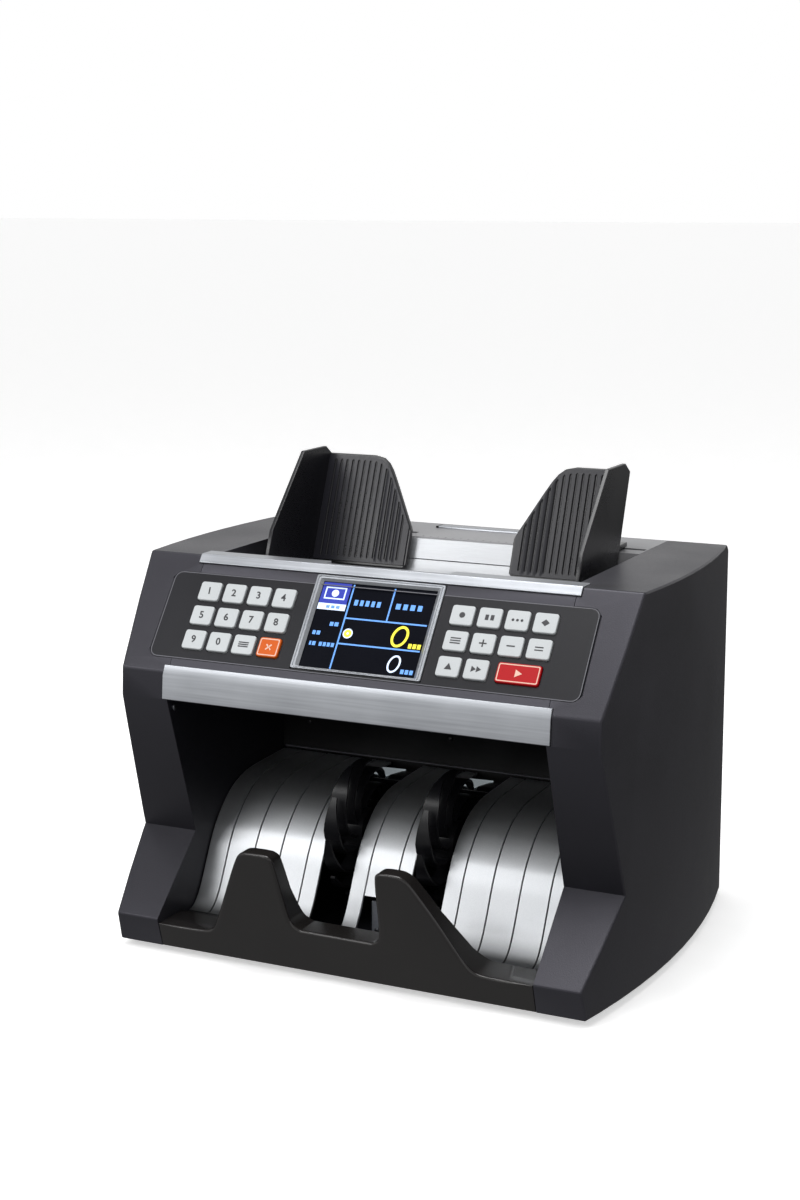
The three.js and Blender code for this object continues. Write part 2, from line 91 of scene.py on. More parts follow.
# ---------------------------------------------------------------- materials
def add(tree, kind, inputs=None, **settings):
    """A new shader node; an input is a value or the socket that feeds it."""
    made = tree.nodes.new(kind)
    for key, value in settings.items():
        setattr(made, key, value)
    for key, value in (inputs or {}).items():
        if isinstance(value, bpy.types.NodeSocket):
            tree.links.new(value, made.inputs[key])
        else:
            made.inputs[key].default_value = value
    return made


def mapped(tree, value, span, result=(0.0, 1.0), smooth=False):
    """A value's span turned into another span, straight or eased at both ends."""
    made = add(tree, "ShaderNodeMapRange",
               {"Value": value, "From Min": span[0], "From Max": span[1], "To Min": result[0],
                "To Max": result[1]}, interpolation_type="SMOOTHSTEP" if smooth else "LINEAR")
    return made.outputs["Result"]


def rgba(code):
    """Scene colour of a web colour code."""
    def linear(v):
        v /= 255
        return v / 12.92 if v <= 0.04045 else ((v + 0.055) / 1.055) ** 2.4
    return (linear(code >> 16), linear(code >> 8 & 255), linear(code & 255), 1.0)


MIX_FIRST, MIX_SECOND, MIX_RESULT = 6, 7, 2  # colour sockets of a Mix node
COLOUR_SPAN, ROUGH_SPAN = (0.36, 0.64), (0.3, 0.7)  # of the noise, for the whole range of colour and gloss
EDGE_HIGHLIGHT_SPAN, MOST_EDGE_HIGHLIGHT = (0.52, 0.6), 0.55  # of the pointiness, and the largest share of the painted edge highlight at its end
# colour of the painted shade
PAINTED_SHADE_COLOUR = (0.02, 0.02, 0.02, 1.0)
RELIEF = 0.0002  # metres


def material(name, dark, light, rough, grain=900.0, bump=0.1, metallic=0.0, stretch=(1, 1, 1), clouds=22.0,
             painted_edge_highlight=None, shade=None, **sockets):
    """Procedural finish: colour and roughness drift with a broad and a fine noise, bump from the fine one.

    rough is (least, most); painted_edge_highlight is the colour of a painted highlight on sharp edges;
    shade is (from height, to height, share of dark at the lower one) in metres, a painted shade that
    darkens the lower part; sockets are set on the shader itself.
    """
    mat = bpy.data.materials.new(name)
    mat.use_nodes = True
    tree = mat.node_tree
    bsdf = tree.nodes["Principled BSDF"]
    bsdf.inputs["Metallic"].default_value = metallic
    for key, value in sockets.items():
        bsdf.inputs[key.replace("_", " ")].default_value = value
    coords = add(tree, "ShaderNodeTexCoord").outputs["Object"]
    stretched = add(tree, "ShaderNodeMapping", {"Vector": coords, "Scale": stretch}).outputs["Vector"]
    broad = add(tree, "ShaderNodeTexNoise", {"Vector": coords, "Scale": clouds, "Detail": 3.0}).outputs["Fac"]
    fine = add(tree, "ShaderNodeTexNoise", {"Vector": stretched, "Scale": grain,
                                            "Detail": 2.0}).outputs["Fac"]
    blend = add(tree, "ShaderNodeMix", {"Factor": 0.5}, data_type="FLOAT")
    tree.links.new(broad, blend.inputs["A"])
    tree.links.new(fine, blend.inputs["B"])
    drift = mapped(tree, blend.outputs["Result"], COLOUR_SPAN)
    ramp = add(tree, "ShaderNodeValToRGB", {"Fac": drift})
    ramp.color_ramp.elements[0].color = dark
    ramp.color_ramp.elements[1].color = light
    colour = ramp.outputs["Color"]
    # painted highlight: sharp edges, found by pointiness, turn towards a lighter colour
    if painted_edge_highlight:
        point = add(tree, "ShaderNodeNewGeometry").outputs["Pointiness"]
        edge = mapped(tree, point, EDGE_HIGHLIGHT_SPAN, (0.0, MOST_EDGE_HIGHLIGHT))
        highlit_edges = add(tree, "ShaderNodeMix", {"Factor": edge}, data_type="RGBA")
        tree.links.new(colour, highlit_edges.inputs[MIX_FIRST])
        highlit_edges.inputs[MIX_SECOND].default_value = painted_edge_highlight
        colour = highlit_edges.outputs[MIX_RESULT]
    # painted shade: the colour darkens towards the lower of the two heights
    if shade:
        height = add(tree, "ShaderNodeSeparateXYZ", {"Vector": coords}).outputs["Z"]
        low, high, dark_share = shade
        depth = mapped(tree, height, (low, high), (dark_share, 0.0), smooth=True)
        shaded = add(tree, "ShaderNodeMix", {"Factor": depth}, data_type="RGBA")
        tree.links.new(colour, shaded.inputs[MIX_FIRST])
        shaded.inputs[MIX_SECOND].default_value = PAINTED_SHADE_COLOUR
        colour = shaded.outputs[MIX_RESULT]
    tree.links.new(colour, bsdf.inputs["Base Color"])
    tree.links.new(mapped(tree, blend.outputs["Result"], ROUGH_SPAN, rough), bsdf.inputs["Roughness"])
    if bump:
        relief = add(tree, "ShaderNodeBump", {"Height": fine, "Strength": bump, "Distance": RELIEF})
        tree.links.new(relief.outputs["Normal"], bsdf.inputs["Normal"])
    return mat


RASTER, RASTER_DARK = 900.0, 0.86


def glowing(name, colour, strength):
    """Lit display ink: a faint pixel raster over an emissive colour."""
    mat = bpy.data.materials.new(name)
    mat.use_nodes = True
    tree = mat.node_tree
    bsdf = tree.nodes["Principled BSDF"]
    bsdf.inputs["Roughness"].default_value = 0.3
    bsdf.inputs["Emission Strength"].default_value = strength
    coords = add(tree, "ShaderNodeTexCoord").outputs["Object"]
    raster = add(tree, "ShaderNodeTexWave", {"Vector": coords, "Scale": RASTER}, bands_direction="X")
    ramp = add(tree, "ShaderNodeValToRGB", {"Fac": raster.outputs["Fac"]})
    ramp.color_ramp.elements[0].color = tuple(RASTER_DARK * c for c in colour[:3]) + (1.0,)
    ramp.color_ramp.elements[1].color = colour
    tree.links.new(ramp.outputs["Color"], bsdf.inputs["Base Color"])
    tree.links.new(ramp.outputs["Color"], bsdf.inputs["Emission Color"])
    return mat


MAT = {
    # the charcoal's lighter edge colour is a painted edge highlight
    "charcoal": material("charcoal_plastic", rgba(0x131317), rgba(0x18181D), (0.34, 0.46), grain=1500.0,
                         bump=0.3, painted_edge_highlight=rgba(0x3C3C42), Specular_Tint=(0.9, 0.88, 1.0, 1.0)),
    "top": material("top_grey_plastic", rgba(0x7C7C7F), rgba(0x878789), (0.38, 0.5), grain=1500.0, bump=0.25),
    "film": material("film_plastic", rgba(0x121217), rgba(0x16161C), (0.34, 0.42), grain=2200.0, bump=0.1,
                     Specular_IOR_Level=0.25),
    "outline": material("film_outline", rgba(0x505056), rgba(0x5E5E65), (0.4, 0.5), grain=2200.0, bump=0.05),
    "silver": material("silver_trim", rgba(0x9C9FA4), rgba(0xB2B5BA), (0.32, 0.44), grain=700.0, bump=0.12,
                       metallic=0.85, stretch=(0.02, 1, 1)),
    "bezel": material("bezel_silver", rgba(0x8E9196), rgba(0xA2A5AA), (0.3, 0.42), grain=1200.0, bump=0.06,
                      metallic=0.85),
    # the chute plates get a painted shade that darkens them towards their feet
    "plate": material("bright_plate", rgba(0xC6C9CC), rgba(0xD2D4D7), (0.42, 0.46), grain=1900.0, bump=0.03,
                      metallic=0.9, shade=(0.012, 0.034, 0.75)),
    "hopper": material("hopper_sheet", rgba(0xA0A2A5), rgba(0xB0B2B5), (0.3, 0.42), grain=900.0, bump=0.06,
                       metallic=0.55, stretch=(0.02, 1, 1)),
    "key": material("key_grey", rgba(0xB2B6B8), rgba(0xBCC0C2), (0.4, 0.5), grain=2500.0, bump=0.08),
    "orange": material("key_orange", rgba(0xC05212), rgba(0xCC5D18), (0.4, 0.5), grain=2500.0, bump=0.06,
                       Specular_IOR_Level=0.2),
    "red": material("key_red", rgba(0xA6040E), rgba(0xB20813), (0.4, 0.5), grain=2500.0, bump=0.06,
                    Specular_IOR_Level=0.2),
    "legend": material("legend_ink", rgba(0x232327), rgba(0x2E2E33), (0.5, 0.6), grain=2500.0, bump=0.05),
    "pale_ink": material("pale_ink", rgba(0xD8B09C), rgba(0xE2BDAC), (0.5, 0.6), grain=2500.0, bump=0.05),
    "gloss": material("gloss_black", rgba(0x1E1C1C), rgba(0x232120), (0.2, 0.24), grain=1600.0, bump=0.01),
    "black": material("black_plastic", rgba(0x0A0A0E), rgba(0x0F0F15), (0.24, 0.34), grain=1400.0, bump=0.05),
    "ribbed": material("ribbed_plastic", rgba(0x121219), rgba(0x181820), (0.34, 0.44), grain=1400.0,
                       bump=0.05),
    "wheel": material("wheel_plastic", rgba(0x121215), rgba(0x18181B), (0.3, 0.38), grain=900.0, bump=0.03,
                      Specular_IOR_Level=0.3),
    "dull": material("dull_black", rgba(0x060608), rgba(0x0B0B0D), (0.45, 0.6), grain=900.0, bump=0.15),
    "glass": material("screen_glass", rgba(0x0A0B12), rgba(0x0D0F17), (0.2, 0.28), grain=2500.0, bump=0.02,
                      Specular_IOR_Level=0.05),
    "smoke": material("smoke_plastic", rgba(0x0A0A0D), rgba(0x101014), (0.15, 0.25), grain=900.0, bump=0.03),
    # the windows' faint emission is a painted glow standing in for their sheen
    "clear": material("clear_plastic", rgba(0xB9C3C8), rgba(0xE2E9EC), (0.05, 0.12), grain=900.0, bump=0.04,
                      Transmission_Weight=0.2, IOR=1.5, Emission_Color=(0.85, 0.95, 1.0, 1.0),
                      Emission_Strength=0.18),
    "steel": material("steel", rgba(0x8B8E92), rgba(0xA9ACB0), (0.25, 0.4), grain=1200.0, bump=0.1,
                      metallic=0.95),
    "zinc": material("zinc_sheet", rgba(0x7E828A), rgba(0x9498A0), (0.35, 0.5), grain=1200.0, bump=0.1,
                     metallic=0.2),
    "screw": material("screw_steel", rgba(0x5A5C60), rgba(0x74767A), (0.25, 0.35), grain=1600.0, bump=0.1,
                      metallic=0.95),
    "rubber": material("rubber", rgba(0x141414), rgba(0x202020), (0.75, 0.9), grain=1500.0, bump=0.4),
    "board": material("board_green", rgba(0x12502A), rgba(0x1A6838), (0.4, 0.55), grain=1200.0, bump=0.1),
    "switch": material("switch_red", rgba(0xB81420), rgba(0xCC2030), (0.25, 0.35), grain=2000.0, bump=0.05),
    "lit_blue": glowing("lit_blue", rgba(0x5C92DC), 0.6),
    "lit_pale": glowing("lit_pale", rgba(0xC6D6EE), 0.7),
    "lit_yellow": glowing("lit_yellow", rgba(0xE0D636), 0.75),
    "lit_deep": glowing("lit_deep", rgba(0x1B2C94), 0.6),
}


# ---------------------------------------------------------------- mesh helpers, in drawing millimetres
def cad_copy(node_name):
    """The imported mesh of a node, with flat faces merged and the first finish throughout."""
    bm = bmesh.new()
    bm.from_mesh(NODES[node_name].data)
    bm.transform(TO_DRAWING)
    bmesh.ops.remove_doubles(bm, verts=bm.verts, dist=0.002)
    bmesh.ops.dissolve_limit(bm, angle_limit=math.radians(0.4), verts=bm.verts, edges=bm.edges)
    for face in bm.faces:
        face.material_index = 0
    return bm


def soften(bm, width, segments=3, angle=30.0, keep=None):
    """Rounds the sharp outward edges that keep(middle, normal_a, normal_b) accepts."""
    limit = math.radians(angle)
    picked = []
    for edge in bm.edges:
        if len(edge.link_faces) != 2 or edge.calc_face_angle(0.0) < limit or not edge.is_convex:
            continue
        middle = (edge.verts[0].co + edge.verts[1].co) / 2
        if keep is None or keep(middle, edge.link_faces[0].normal, edge.link_faces[1].normal):
            picked.append(edge)
    bmesh.ops.bevel(bm, geom=picked, offset=width, segments=segments, profile=0.5, affect="EDGES",
                    clamp_overlap=True, material=-1)


def prism(bm, outline, low, high, place=Matrix.Identity(4), mat=0):
    """Closed prism over a counter-clockwise outline, from low to high along the third axis of place."""
    lower = [bm.verts.new(place @ Vector((u, v, low))) for u, v in outline]
    upper = [bm.verts.new(place @ Vector((u, v, high))) for u, v in outline]
    count = len(outline)
    faces = [bm.faces.new(lower[::-1]), bm.faces.new(upper)]
    for i in range(count):
        j = (i + 1) % count
        faces.append(bm.faces.new((lower[i], lower[j], upper[j], upper[i])))
    for face in faces:
        face.material_index = mat


def rounded(x0, x1, y0, y1, r, steps=4):
    """Counter-clockwise rectangle with round corners."""
    points = []
    corners = ((x1 - r, y0 + r, -90), (x1 - r, y1 - r, 0), (x0 + r, y1 - r, 90), (x0 + r, y0 + r, 180))
    for cx, cy, start in corners:
        for i in range(steps + 1):
            a = math.radians(start + 90 * i / steps)
            points.append((cx + r * math.cos(a), cy + r * math.sin(a)))
    return points


def bar(x0, x1, y0, y1):
    """Counter-clockwise rectangle."""
    return [(x0, y0), (x1, y0), (x1, y1), (x0, y1)]


def circle(cx, cy, r, count=24):
    turns = [math.tau * i / count for i in range(count)]
    return [(cx + r * math.cos(a), cy + r * math.sin(a)) for a in turns]


def ring(bm, outer, inner, section, place, mat=0):
    """Closed frame between two outlines; section is a loop of (share of the way inwards, height)."""
    count = len(outer)
    rows = []
    for share, height in section:
        points = [Vector((*o, height)).lerp(Vector((*i, height)), share) for o, i in zip(outer, inner)]
        rows.append([bm.verts.new(place @ point) for point in points])
    for a, b in zip(rows, rows[1:] + rows[:1]):
        for i in range(count):
            j = (i + 1) % count
            bm.faces.new((a[i], a[j], b[j], b[i])).material_index = mat


def flat_section(low, high):
    """Section of a ring with a square edge."""
    return [(0, low), (0, high), (1, high), (1, low)]


def lathe(bm, profile, place, count, mat):
    """Closed turned piece: its profile of (radius, height) starts and ends on the third axis."""
    rings = []
    for radius, height in profile:
        if radius < 1e-6:
            rings.append([bm.verts.new(place @ Vector((0, 0, height)))])
        else:
            around = circle(0, 0, radius, count)
            rings.append([bm.verts.new(place @ Vector((u, v, height))) for u, v in around])
    for a, b in zip(rings, rings[1:]):
        for i in range(count):
            j = (i + 1) % count
            loop = [a[i % len(a)], a[j % len(a)], b[j % len(b)], b[i % len(b)]]
            unique = [v for k, v in enumerate(loop) if v not in loop[:k]]
            bm.faces.new(unique).material_index = mat


BOLD = 0.022


def lettering(bm, text, size, place, high, mat, shear):
    """Digits as a thin raised print, a little bolder than the built-in face."""
    curve = bpy.data.curves.new("digits", "FONT")
    curve.body = text
    curve.size = size
    curve.align_x = "CENTER"
    curve.align_y = "CENTER"
    curve.extrude = high / 2
    curve.offset = size * BOLD
    curve.shear = shear
    curve.resolution_u = 3
    holder = bpy.data.objects.new("digits", curve)
    SCENE.collection.objects.link(holder)
    bpy.context.view_layer.update()
    mesh = bpy.data.meshes.new_from_object(holder.evaluated_get(bpy.context.evaluated_depsgraph_get()))
    bpy.data.objects.remove(holder)
    print_bm = bmesh.new()
    print_bm.from_mesh(mesh)
    bmesh.ops.remove_doubles(print_bm, verts=print_bm.verts, dist=0.001)
    raised = place @ Matrix.Translation((0, 0, high / 2))
    copies = {v: bm.verts.new(raised @ v.co) for v in print_bm.verts}
    for face in print_bm.faces:
        bm.faces.new([copies[v] for v in face.verts]).material_index = mat
    print_bm.free()
    bpy.data.meshes.remove(mesh)
    bpy.data.curves.remove(curve)


def piece(name, bm, body, finishes, replaces=(), sharp=35.0):
    """Closes a mesh drawn in millimetres into a visible piece that rides on a body."""
    bmesh.ops.recalc_face_normals(bm, faces=bm.faces)
    bm.transform(TO_ROW)
    mesh = bpy.data.meshes.new(name)
    bm.to_mesh(mesh)
    bm.free()
    for finish in finishes:
        mesh.materials.append(MAT[finish])
    mesh.shade_smooth()
    mesh.set_sharp_from_angle(angle=math.radians(sharp))
    made = bpy.data.objects.new(name, mesh)
    SCENE.collection.objects.link(made)
    weighted = made.modifiers.new("normals", "WEIGHTED_NORMAL")
    weighted.keep_sharp = True
    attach(made, body)
    if replaces:
        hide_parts(*replaces)


SCREW_HIGH, SCREW_ROOT, SCREW_SIDES, SCREW_TURN = 1.4, -1.0, 20, 0.3


def screw(bm, place, radius, head, painted_recess_shade):
    """Pan head with a cross; place's third axis points out of the surface, head and painted_recess_shade
    are finishes, the cross's dark finish being a painted shade in place of a sunk recess.
    """
    lathe(bm, [(0, SCREW_ROOT), (radius, SCREW_ROOT), (radius, 0.5), (radius * 0.86, 1.0),
               (radius * 0.5, 1.3), (0, SCREW_HIGH)], place, SCREW_SIDES, head)
    arm, half = radius * 0.55, radius * 0.13
    # the dark cross is painted shade standing for the recess
    for turn in (0.0, math.pi / 2):
        prism(bm, bar(-arm, arm, -half, half), 0.9, SCREW_HIGH + 0.02,
              place @ Matrix.Rotation(turn + SCREW_TURN, 4, "Z"), painted_recess_shade)


def facing(origin, normal, across=(1, 0, 0)):
    """Placement whose third axis is normal and whose first is close to across."""
    n = Vector(normal).normalized()
    u = (Vector(across) - n * Vector(across).dot(n)).normalized()
    v = n.cross(u)
    m = Matrix((u, v, n)).transposed().to_4x4()
    m.translation = Vector(origin)
    return m


def smooth_line(points, steps=4):
    """Catmull-Rom line through the points."""
    line = []
    last = len(points) - 1
    for i in range(last):
        p = [Vector(points[max(0, min(last, i + k))]) for k in (-1, 0, 1, 2)]
        for k in range(steps):
            t = k / steps
            line.append(0.5 * (2 * p[1] + (p[2] - p[0]) * t + (2 * p[0] - 5 * p[1] + 4 * p[2] - p[3]) * t * t
                               + (3 * p[1] - 3 * p[2] + p[3] - p[0]) * t ** 3))
    line.append(Vector(points[last]))
    return line


DEEP_GROOVE = 0.3  # between two stations deeper than this lies a groove's floor


def swept(bm, line, stations, thickness, mat, groove_shade_mat):
    """Sheet of one side profile across the width; each station is (x, depth below the face)."""
    count = len(line)
    normals = []
    for i in range(count):
        d = (line[min(i + 1, count - 1)] - line[max(i - 1, 0)]).normalized()
        normals.append(Vector((d.y, -d.x)))
    front, back = [], []
    for x, depth in stations:
        front.append([bm.verts.new((x, *(p + n * depth))) for p, n in zip(line, normals)])
        back.append([bm.verts.new((x, *(p + n * thickness))) for p, n in zip(line, normals)])
    for j in range(len(stations) - 1):
        deep = stations[j][1] > DEEP_GROOVE and stations[j + 1][1] > DEEP_GROOVE
        for i in range(count - 1):
            face = bm.faces.new((front[j][i], front[j + 1][i], front[j + 1][i + 1], front[j][i + 1]))
            # a groove's floor takes the dark finish, painted shade in the narrow groove
            face.material_index = groove_shade_mat if deep else mat
            face = bm.faces.new((back[j][i + 1], back[j + 1][i + 1], back[j + 1][i], back[j][i]))
            face.material_index = mat
        for i in (0, count - 1):
            loop = (front[j][i], back[j][i], back[j + 1][i], front[j + 1][i])
            bm.faces.new(loop if i == 0 else loop[::-1]).material_index = mat
    for j in (0, len(stations) - 1):
        for i in range(count - 1):
            loop = (front[j][i], front[j][i + 1], back[j][i + 1], back[j][i])
            bm.faces.new(loop if j == 0 else loop[::-1]).material_index = mat


SLOT_POINT, SLOT_FLOOR = 1.0, 0.1  # a slot's end beyond its sides, its floor's share of the face's height


def slotted(bm, columns, bottom, top, border, low, high, place, mat, slot_mat):
    """Raised face between bottom and top(x), from low to high off the surface.

    The columns are its two ends and, between them, the two sides and the middle of every slot.
    """
    def rows(i, w):
        x = columns[i]
        point = SLOT_POINT if i % 3 == 2 else 0.0
        levels = (bottom, bottom + border - point, top(x) - border + point, top(x))
        return [bm.verts.new(place @ Vector((x, y, w))) for y in levels]

    def quad(a, b, c, d, index):
        bm.faces.new((a, b, c, d)).material_index = index

    last = len(columns) - 1
    face = [rows(i, high) for i in range(last + 1)]
    base = [rows(i, low) for i in range(last + 1)]
    floor = [rows(i, high * SLOT_FLOOR)[1:3] for i in range(last + 1)]
    for i in range(last):
        for r in range(3):
            a, b, c, d = face[i][r], face[i + 1][r], face[i + 1][r + 1], face[i][r + 1]
            if i % 3 and r == 1:
                e, h, f, g = *floor[i], *floor[i + 1]
                quad(e, f, g, h, slot_mat)
                quad(a, b, f, e, slot_mat)
                quad(c, d, h, g, slot_mat)
                if i % 3 == 1:
                    quad(d, a, e, h, slot_mat)
                else:
                    quad(b, c, g, f, slot_mat)
            else:
                quad(a, b, c, d, mat)
            quad(base[i][r + 1], base[i + 1][r + 1], base[i + 1][r], base[i][r], mat)
        quad(face[i][0], base[i][0], base[i + 1][0], face[i + 1][0], mat)
        quad(face[i + 1][3], base[i + 1][3], base[i][3], face[i][3], mat)
    for i in (0, last):
        for r in range(3):
            quad(face[i][r], face[i][r + 1], base[i][r + 1], base[i][r], mat)
    bmesh.ops.delete(bm, geom=[v for v in bm.verts if not v.link_faces], context="VERTS")


# ---------------------------------------------------------------- shell
# Roundings: width, steps across, least angle of an edge that gets it.
OUTER_ROUND, FLANGE_ROUND, COLUMN_ROUND = (1.3, 3, 20.0), (0.8, 2, 30.0), (0.5, 2, 20.0)
TRIM_ROUND, SHEET_ROUND, PART_ROUND = (0.35, 3, 20.0), (0.25, 2, 30.0), (0.3, 2, 30.0)
GUIDE_ROUND, REAR_ROUND, FOOT_ROUND = (0.5, 3, 30.0), (0.6, 3, 30.0), (0.8, 3, 40.0)
FILM_ROUND, WINDOW_ROUND = (0.12, 2, 30.0), (0.4, 2, 20.0)
PROFILE_CORNERS = (21.0, 61.2, 162.5, TOP)  # heights of the front's corners in the side view
# distances from the machine's middle, and depths, that tell a cover's edges apart
SKIN_FROM, FRONT_FROM, COLUMN, FLANGE_TO = 128.0, 116.0, (100.0, 126.0), 113.0
FRONT_TO, COLUMN_TO, BEHIND_HOPPER = 60.0, 66.0, 150.0


def outer_edge(middle, a, b):
    """The rim of a cover's outer side, and the front's corners that run across the cover."""
    if abs(middle.x) > SKIN_FROM and max(abs(a.x), abs(b.x)) > 0.85:
        return True
    across = abs(a.x) + abs(b.x) < 0.1 and abs(middle.x) > FRONT_FROM and middle.y < FRONT_TO
    return across and min(abs(middle.z - z) for z in PROFILE_CORNERS) < 0.3


def column_edge(middle, a, b):
    """The inner edges of the front column."""
    return middle.y < COLUMN_TO and COLUMN[0] < abs(middle.x) < COLUMN[1] and max(a.y, b.y) < 0.5


def flange_edge(middle, a, b):
    """The edge beside the top cover, behind the hopper."""
    return abs(middle.x) < FLANGE_TO and middle.y > BEHIND_HOPPER and max(a.z, b.z) > 0.95


COLUMN_SCREW, COLUMN_SCREW_AT = 2.2, (16.8, 140.6)
SIDES = (("left", -1), ("right", 1))
for side, sign in SIDES:
    bm = cad_copy(f"side_cover_{side}")
    soften(bm, *OUTER_ROUND, outer_edge)
    soften(bm, *FLANGE_ROUND, flange_edge)
    soften(bm, *COLUMN_ROUND, column_edge)
    inner_wall = facing((sign * (POCKET_HALF + 0.1), *COLUMN_SCREW_AT), (-sign, 0, 0), (0, 1, 0))
    screw(bm, inner_wall, COLUMN_SCREW, 1, 2)
    piece(f"side_cover_{side}_skin", bm, "frame", ["charcoal", "screw", "dull"],
          [f"side_cover_{side}"], sharp=16.0)

piece("head_housing_skin", cad_copy("head_housing"), "frame", ["charcoal"],
      ["head_housing"])

FILM_HALF, FILM_TOP_S, FILM_BOTTOM_S, FILM_CORNER = 130.5, 11.7, 66.1, 5.0
FILM_LINE_HIGH = 0.16


def film_outline(inset):
    return rounded(-FILM_HALF + inset, FILM_HALF - inset, -FILM_BOTTOM_S + inset, -FILM_TOP_S - inset,
                   FILM_CORNER - inset)


bm = cad_copy("keypad_film")
soften(bm, *FILM_ROUND)
ring(bm, film_outline(0.1), film_outline(0.6), flat_section(-0.3, FILM_LINE_HIGH), PANEL, 1)
piece("keypad_film_skin", bm, "frame", ["film", "outline"], ["keypad_film"])

for trim in ("upper_trim", "lower_trim"):
    bm = cad_copy(trim)
    soften(bm, *TRIM_ROUND)
    piece(f"{trim}_strip", bm, "frame", ["silver"], [trim])

# scale printed beside the guide slots
TICK_PITCH, TICK_W, TICK_HIGH, TICK_Y, TICKS_EACH_SIDE = 5.0, 0.5, 0.06, (170.4, 172.2), 20
TOP_COVER_END = 109.0
bm = cad_copy("top_cover")
soften(bm, *FLANGE_ROUND, lambda middle, a, b: abs(middle.x) > TOP_COVER_END)
soften(bm, *PART_ROUND, lambda middle, a, b: abs(middle.x) < TOP_COVER_END)
on_top = Matrix.Translation((0, 0, TOP))
for i in range(-TICKS_EACH_SIDE, TICKS_EACH_SIDE + 1):
    x = i * TICK_PITCH
    prism(bm, bar(x - TICK_W / 2, x + TICK_W / 2, *TICK_Y), -SUNK, TICK_HIGH, on_top, 1)
piece("top_cover_skin", bm, "frame", ["top", "black"], ["top_cover"])

for name in ("hopper_back_plate", "hopper_feed_plate"):
    bm = cad_copy(name)
    soften(bm, *SHEET_ROUND)
    piece(f"{name}_sheet", bm, "frame", ["hopper"], [name])

GRIP_END_X, GRIP_END_HALF, GRIP_END_Y, GRIP_END_Z = 35.3, 0.8, (203.7, 211.3), (-0.8, 1.2)
bm = cad_copy("grip_bar")
soften(bm, *SHEET_ROUND)
for x in (-GRIP_END_X, GRIP_END_X):
    prism(bm, bar(x - GRIP_END_HALF, x + GRIP_END_HALF, *GRIP_END_Y), *GRIP_END_Z, on_top, 1)
piece("grip_bar_handle", bm, "frame", ["silver", "black"], ["grip_bar"])


# ---------------------------------------------------------------- keys
KEY_ROUND = (0.55, 3, 40.0)
DIGIT_SIZE, DIGIT_SHEAR, INK_HIGH = 6.0, -0.12, 0.08
BORDER_INSET, BORDER_W, BORDER_SECTION = 0.7, 0.6, flat_section(-0.3, 0.06)


def along_panel(normal):
    """Whether a face lies along the panel, as the top of a key does."""
    return abs(normal.x) + abs(normal.y * UP.x + normal.z * UP.y) < 0.3


def key(node_name, body, x, s, width, finish, slot, legend, ink="legend", border=False):
    """A key cap with its print; the legend is a list of outlines and digits."""
    bm = cad_copy(node_name)
    soften(bm, *KEY_ROUND, lambda middle, a, b: along_panel(a) or along_panel(b))
    at = PANEL @ Matrix.Translation((x, -s, KEY_TOP))
    if border:
        hw, hh = width / 2 - BORDER_INSET, KEY_H / 2 - BORDER_INSET
        ring(bm, rounded(-hw, hw, -hh, hh, 1.0),
             rounded(-hw + BORDER_W, hw - BORDER_W, -hh + BORDER_W, hh - BORDER_W, 0.7),
             BORDER_SECTION, at, 1)
    for shape in legend:
        if isinstance(shape, str):
            lettering(bm, shape, DIGIT_SIZE, at, INK_HIGH, 1, DIGIT_SHEAR)
        else:
            prism(bm, shape, -SUNK, INK_HIGH, at, 1)
    piece(f"{node_name}_cap", bm, body, [finish, ink], [node_name])


# plain signs in place of the words on the right keys, row by row
SYMBOLS = [
    [circle(0, 0, 1.7)],
    [bar(-2.6, -0.6, -1.6, 1.6), bar(0.6, 2.6, -1.6, 1.6)],
    [circle(-2.6, 0, 0.8, 12), circle(0, 0, 0.8, 12), circle(2.6, 0, 0.8, 12)],
    [[(0, -2), (2.4, 0), (0, 2), (-2.4, 0)]],
    [bar(-3, 3, 1.1, 1.8), bar(-3, 3, -0.35, 0.35), bar(-3, 3, -1.8, -1.1)],
    [bar(-2.2, 2.2, -0.4, 0.4), bar(-0.4, 0.4, 0.4, 2.2), bar(-0.4, 0.4, -2.2, -0.4)],
    [bar(-2.4, 2.4, -0.4, 0.4)],
    [bar(-2.4, 2.4, 0.5, 1.2), bar(-2.4, 2.4, -1.2, -0.5)],
    [[(-2.2, -1.8), (2.2, -1.8), (0, 2)]],
    [[(-2.8, -1.8), (0, 0), (-2.8, 1.8)], [(0.2, -1.8), (3, 0), (0.2, 1.8)]],
]
BATCH_SYMBOL = [bar(-3.2, 3.2, 0.9, 1.6), bar(-3.2, 3.2, -0.35, 0.35), bar(-3.2, 3.2, -1.6, -0.9)]
CLEAR_SYMBOL = [[(-1.9, -1.3), (-1.3, -1.9), (1.9, 1.3), (1.3, 1.9)],
                [(-1.9, 1.3), (-0.3, -0.3), (0.3, 0.3), (-1.3, 1.9)],
                [(0.3, -0.3), (1.3, -1.9), (1.9, -1.3), (0.3, 0.3)]]
START_SYMBOL = [[(-1.7, -2.2), (2.3, 0), (-1.7, 2.2)]]
LEFT_LEGENDS = [[digit] for digit in "1234567890"] + [BATCH_SYMBOL, CLEAR_SYMBOL]


def key_place(first_x, i):
    """x and s of the key number i of a block of four columns."""
    return first_x + i % 4 * KEY_PITCH_X, KEY_FIRST_S + i // 4 * KEY_PITCH_S


